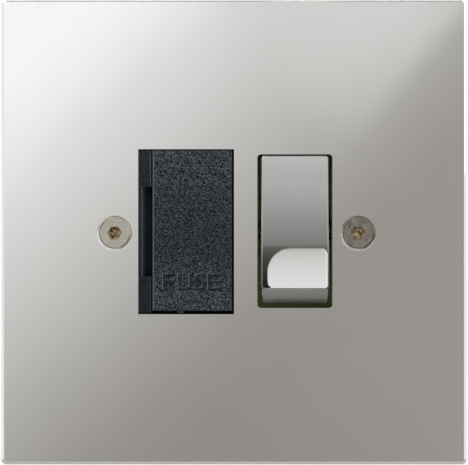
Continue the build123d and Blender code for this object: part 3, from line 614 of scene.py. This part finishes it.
# Cards: staged light that shows in reflections only. A card's levels are the display levels
# at which the polished metal shows it, warmer where they are darker.
NEUTRAL_LEVEL = 250
WARMTH, ARC_WARMTH = 0.075, 0.03
GREEN_SHARE = 0.4


def srgb(level):
    """Linear value of an 8-bit display level."""
    value = level / 255
    return value / 12.92 if value <= 0.04045 else ((value + 0.055) / 1.055) ** 2.4


def lit(level, warmth=WARMTH):
    """Card colour that the polished metal shows at a display level."""
    warm = warmth * (NEUTRAL_LEVEL - level)
    channels = (level, level - GREEN_SHARE * warm, level - warm)
    return tuple(srgb(channel) / mirror for channel, mirror in zip(channels, PLATE_COLOUR)) + (1.0,)


def lit_ramp(made, source, stops, warmth=WARMTH):
    return made.ramp(source, [(place, lit(level, warmth)) for place, level in stops])


def card(name, rows, colour_of):
    """A card made of rows of two points, left and right, with places across and up it as UV."""
    shader = Shader(name)
    shader.tree.nodes.remove(shader.surface)
    emission = shader.node("ShaderNodeEmission", {"Color": colour_of(shader)})
    shader.join(emission[0], shader.tree.nodes["Material Output"].inputs["Surface"])
    points = [point for row in rows for point in row]
    steps = len(rows) - 1
    faces = [(2 * i, 2 * i + 1, 2 * i + 3, 2 * i + 2) for i in range(steps)]
    made = mesh_object(name, points, faces, shader.material)
    layer = made.data.uv_layers.new(name="place")
    for loop in made.data.loops:
        row, across = divmod(loop.vertex_index, 2)
        layer.data[loop.index].uv = (across, row / steps)
    made.visible_camera = False
    made.visible_diffuse = False
    made.visible_shadow = False


# Scrim: a flat card far in front, seen in the plate. It is bright at the upper left and grey
# at the lower right, with a soft edge across the upper right corner. Its places are those at
# which the plate shows them, and a diagonal is X less a slope times Z.
SCRIM_DISTANCE, SCRIM_SIZE = 5.02, 0.25
SEEN_MM = MM * (1 + (SCRIM_DISTANCE + plate_front) / CAMERA_DISTANCE)
DIAGONAL_REACH = 75 * SEEN_MM
PLAIN_SLOPE, BEYOND_SLOPE, EDGE_SLOPE = 1.11, 1.06, 0.844
BRIGHT_HALF = [(0.0, 246), (0.09, 238), (0.18, 220), (0.32, 200), (0.5, 170), (0.63, 151)]
LOWER_HALF = BRIGHT_HALF + [(0.72, 144), (1.0, 142)]
RIGHT_HALF = BRIGHT_HALF + [(0.72, 151), (1.0, 152)]
RIGHT_LIMITS = (-42 * SEEN_MM, 12 * SEEN_MM)
BEFORE_EDGE = [(0.0, 182), (0.5, 200), (1.0, 209)]
BEFORE_LIMITS = (16.5 * SEEN_MM, 40.9 * SEEN_MM)
BEYOND_EDGE = [
    (0.0, 171), (0.522, 171), (0.538, 168), (0.568, 163), (0.613, 157), (0.66, 152), (1.0, 149),
]
EDGE_LIMITS = (-4.0 * SEEN_MM, 10.3 * SEEN_MM)
EDGE_SHARES = [(0.0, 0.0), (0.62, 0.2), (1.0, 1.0)]
CORNER_LIMITS = (26 * SEEN_MM, 42 * SEEN_MM)
CORNER_ASIDE = (-6 * SEEN_MM, 12 * SEEN_MM)


def scrim_colour(made):
    x, _, z = made.axes()

    def diagonal(slope):
        return made.math("SUBTRACT", x, made.product(z, slope))

    def along_diagonal(slope, stops):
        place = made.rises(diagonal(slope), -DIAGONAL_REACH, DIAGONAL_REACH)
        return lit_ramp(made, place, stops)

    toward_corner = made.math("ADD", x, z)
    lower = along_diagonal(PLAIN_SLOPE, LOWER_HALF)
    right = along_diagonal(PLAIN_SLOPE, RIGHT_HALF)
    plain = made.mix(made.rises(toward_corner, *RIGHT_LIMITS), lower, right)

    before = lit_ramp(made, made.rises(z, *BEFORE_LIMITS), BEFORE_EDGE)
    beyond = along_diagonal(BEYOND_SLOPE, BEYOND_EDGE)
    edge_stops = [(place, shade(WHITE, share)) for place, share in EDGE_SHARES]
    edge = made.ramp(made.rises(diagonal(EDGE_SLOPE), *EDGE_LIMITS), edge_stops)
    corner = made.mix(edge, before, beyond)
    in_corner = made.rises(toward_corner, *CORNER_LIMITS)
    in_corner = made.product(in_corner, made.rises(x, *CORNER_ASIDE))
    return made.mix(in_corner, plain, corner)


half = SCRIM_SIZE / 2
scrim_rows = [[(x, -SCRIM_DISTANCE, z) for x in (-half, half)] for z in (-half, half)]
card("scrim", scrim_rows, scrim_colour)

# Backdrop arc: a tall curved card in front, which the curved rocker face sweeps over. Its
# levels go by the angle of rise in degrees.
ARC_RADIUS, ARC_HALF_WIDTH, ARC_STEPS = 5.2, 0.6, 48
ARC_LOW, ARC_HIGH = -9.0, 110.0
ARC_STOPS = [
    (-9.0, 178), (-4.6, 175), (3.4, 170), (7.4, 165), (13.4, 155), (21.6, 141), (32.2, 124),
    (34.2, 89), (40.0, 66), (48.0, 48), (56.0, 20), (64.0, 199), (110.0, 199),
]


def arc_colour(made):
    _, y, z = made.axes()
    turn = made.math("ARCTAN2", z, made.product(y, -1.0))
    place = made.rises(turn, math.radians(ARC_LOW), math.radians(ARC_HIGH))
    stops = [((angle - ARC_LOW) / (ARC_HIGH - ARC_LOW), level) for angle, level in ARC_STOPS]
    return lit_ramp(made, place, stops, ARC_WARMTH)


arc_rows = []
for step in range(ARC_STEPS + 1):
    turn = math.radians(ARC_LOW + (ARC_HIGH - ARC_LOW) * step / ARC_STEPS)
    y, z = -ARC_RADIUS * math.cos(turn), ARC_RADIUS * math.sin(turn)
    arc_rows.append([(x, y, z) for x in (-ARC_HALF_WIDTH, ARC_HALF_WIDTH)])
card("backdrop_arc", arc_rows, arc_colour)

# Reflector: a small white card above the rocker, at a distance from the finger dish and at
# angles of rise in degrees. A rounded corner has a share of the card's height and a width.
REFLECTOR_DISTANCE, REFLECTOR_STEPS = 95 * MM, 60
REFLECTOR_LOW, REFLECTOR_HIGH = 34.9, 57.0
REFLECTOR_LEFT, REFLECTOR_RIGHT = 6.4 * MM, 17.9 * MM
DISH_FRONT, DISH_HIGH, DISH_DROP = -7.5 * MM, -2.8 * MM, 8.0 * MM
LOWER_LEFT, UPPER_LEFT, LOWER_RIGHT = (0.55, 4.6 * MM), (0.3, 2.4 * MM), (0.2, 1.2 * MM)
REFLECTOR_STOPS = [
    (0.0, 168), (0.04, 190), (0.12, 195), (0.3, 206), (0.55, 214), (0.8, 221), (1.0, 225),
]
RIGHT_EDGE, RIGHT_EDGE_SHARE = (0.96, 1.0), 0.9


def rounding(rise, share, width):
    """How far a card's edge is drawn in near one end, as a quarter of an ellipse."""
    short = max(0.0, 1 - rise / share)
    return width * (1 - math.sqrt(1 - short * short))


def reflector_colour(made):
    across, rise, _ = made.axes(made.coordinates["UV"])
    at_edge = made.span(across, 0.0, RIGHT_EDGE_SHARE, *RIGHT_EDGE)
    return made.mix(at_edge, lit_ramp(made, rise, REFLECTOR_STOPS), lit(NEUTRAL_LEVEL))


reflector_rows = []
for step in range(REFLECTOR_STEPS + 1):
    rise = step / REFLECTOR_STEPS
    turn = math.radians(REFLECTOR_LOW + (REFLECTOR_HIGH - REFLECTOR_LOW) * rise)
    left = REFLECTOR_LEFT + rounding(rise, *LOWER_LEFT) + rounding(1 - rise, *UPPER_LEFT)
    right = REFLECTOR_RIGHT - rounding(rise, *LOWER_RIGHT)
    y = DISH_FRONT - REFLECTOR_DISTANCE * math.cos(turn)
    z = DISH_HIGH - DISH_DROP * rise + REFLECTOR_DISTANCE * math.sin(turn)
    reflector_rows.append([(x, y, z) for x in (left, right)])
card("reflector", reflector_rows, reflector_colour)

# Floor: plain and pale, a little below the plate
FLOOR_DROP = 57 * MM
FLOOR_REACH, FLOOR_FRONT = 2.5, 0.75
FLOOR_TONES, FLOOR_CELL = ((0.49, 0.49, 0.485, 1), (0.52, 0.52, 0.515, 1)), 0.4
FLOOR_ROUGHNESS = 0.9

floor_shader = Shader("floor", Roughness=FLOOR_ROUGHNESS)
floor_noise = floor_shader.noise(FLOOR_CELL, detail=3.0)
floor_shader.feed(floor_shader.tones(floor_noise, *FLOOR_TONES), "Base Color")
floor_corners = [
    (-FLOOR_REACH, -FLOOR_FRONT, 0), (FLOOR_REACH, -FLOOR_FRONT, 0),
    (FLOOR_REACH, FLOOR_REACH, 0), (-FLOOR_REACH, FLOOR_REACH, 0),
]
floor = mesh_object("floor", floor_corners, [(0, 1, 2, 3)], floor_shader.material)
floor.location.z = plate_low.z - FLOOR_DROP

# World: white to the camera and in reflections, and a softer level as light
WORLD_LIT, WORLD_SEEN = 0.5, 1.0

world = bpy.data.worlds.new("studio")
world.use_nodes = True
bpy.context.scene.world = world
nodes, links = world.node_tree.nodes, world.node_tree.links
background = nodes["Background"]
background.inputs["Color"].default_value = WHITE
path = nodes.new("ShaderNodeLightPath")
seen = nodes.new("ShaderNodeMath")
seen.operation = "MAXIMUM"
links.new(path.outputs["Is Camera Ray"], seen.inputs[0])
links.new(path.outputs["Is Glossy Ray"], seen.inputs[1])
level = nodes.new("ShaderNodeMapRange")
level.inputs["To Min"].default_value = WORLD_LIT
level.inputs["To Max"].default_value = WORLD_SEEN
links.new(seen.outputs[0], level.inputs["Value"])
links.new(level.outputs["Result"], background.inputs["Strength"])

# Lamps: square soft boxes that face the part, with place, size and power
LAMPS = [
    ("key", (-0.6, -0.7, 0.7), 0.5, 8.0),
    ("fill", (0.7, -0.6, 0.3), 0.6, 2.5),
    ("rear", (0.3, 0.8, 0.6), 0.6, 3.0),
]
for name, place, size, power in LAMPS:
    lamp = bpy.data.lights.new(name, "AREA")
    lamp.shape = "SQUARE"
    lamp.size = size
    lamp.energy = power
    soft_box = bpy.data.objects.new(name, lamp)
    bpy.context.collection.objects.link(soft_box)
    soft_box.location = place
    soft_box.rotation_euler = (-Vector(place)).to_track_quat("-Z", "Y").to_euler()

lens = bpy.data.cameras.new("camera")
lens.sensor_width = SENSOR
lens.lens = SENSOR * CAMERA_DISTANCE / (PHOTO_WIDTH_PX * pixel)
lens.clip_end = CAMERA_REACH
camera = bpy.data.objects.new("camera", lens)
bpy.context.collection.objects.link(camera)
camera.location = (0, plate_front - CAMERA_DISTANCE, -PLATE_RISE_PX * pixel)
camera.rotation_euler = (math.radians(90), 0, 0)
bpy.context.scene.camera = camera
bpy.context.scene.view_settings.view_transform = "Standard"
